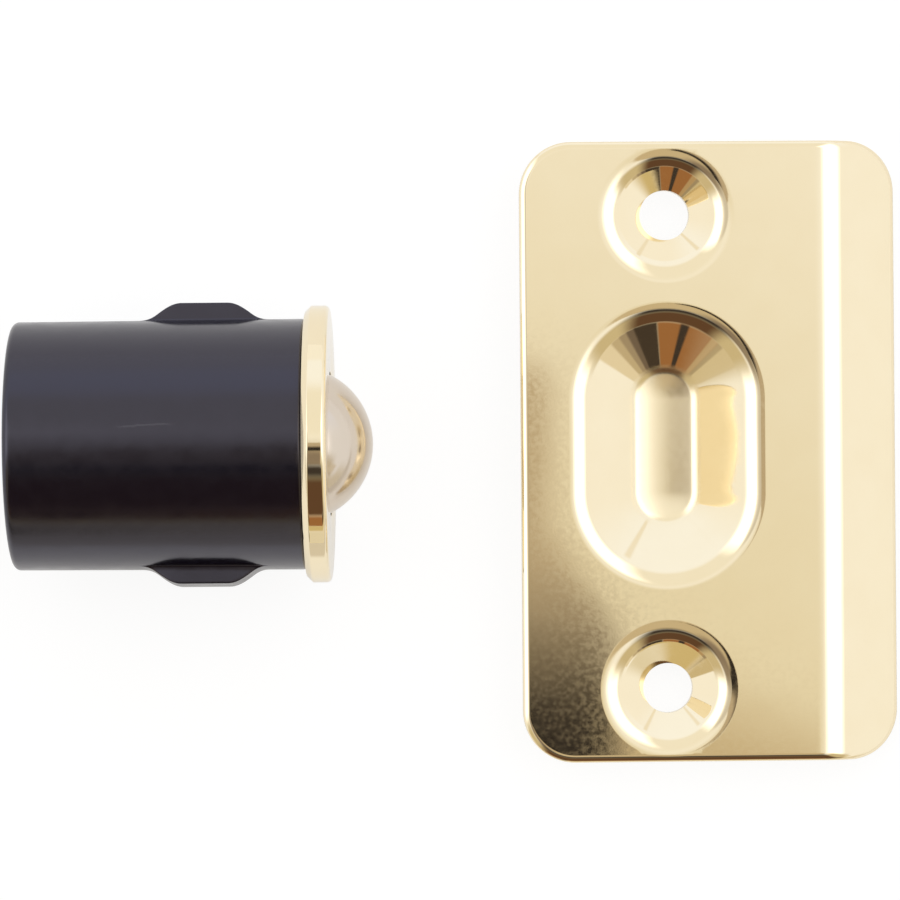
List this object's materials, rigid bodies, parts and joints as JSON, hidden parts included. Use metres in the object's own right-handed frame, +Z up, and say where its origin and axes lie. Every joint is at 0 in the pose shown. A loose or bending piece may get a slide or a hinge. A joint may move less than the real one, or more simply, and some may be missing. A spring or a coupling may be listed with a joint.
{
  "type": "ball catch with strike",
  "caption": "Drive-in door catch: a sprung steel ball in a ribbed black barrel with a brass face ring, and the brass full-lip strike whose pocket the ball snaps into.",
  "frame": {"origin": "middle of the pair's box, on the surface that both halves lie on", "axes": "+X along the barrel towards the ball and on to the strike, +Y along the strike's height, +Z up out of the strike's face"},
  "size_m": [0.0818, 0.0572, 0.025],
  "materials": {
    "black_plastic": "moulded, satin",
    "brass_plate": "bright plated",
    "ball_steel": "polished",
    "spring_steel": "drawn wire"
  },
  "bodies": {
    "housing": {"barrel": "black_plastic", "face_ring": "brass_plate", "strike_plate": "brass_plate"},
    "spring": {"spring": "spring_steel"},
    "ball": {"ball": "ball_steel"}
  },
  "joints": [
    {"name": "ball_press", "type": "slide", "parent": "housing", "child": "spring", "axis": [-0.9988, 0, -0.0493], "range_m": [0, 0.0038], "stiffness_N_per_m": 2470, "springref_m": -0.0005, "deforming": ["spring"]},
    {"name": "ball_roll", "type": "hinge", "parent": "spring", "child": "ball", "pos_m": [-0.01503, 0.00095, 0.01241], "axis": [0, 1, 0], "continuous": true}
  ]
}
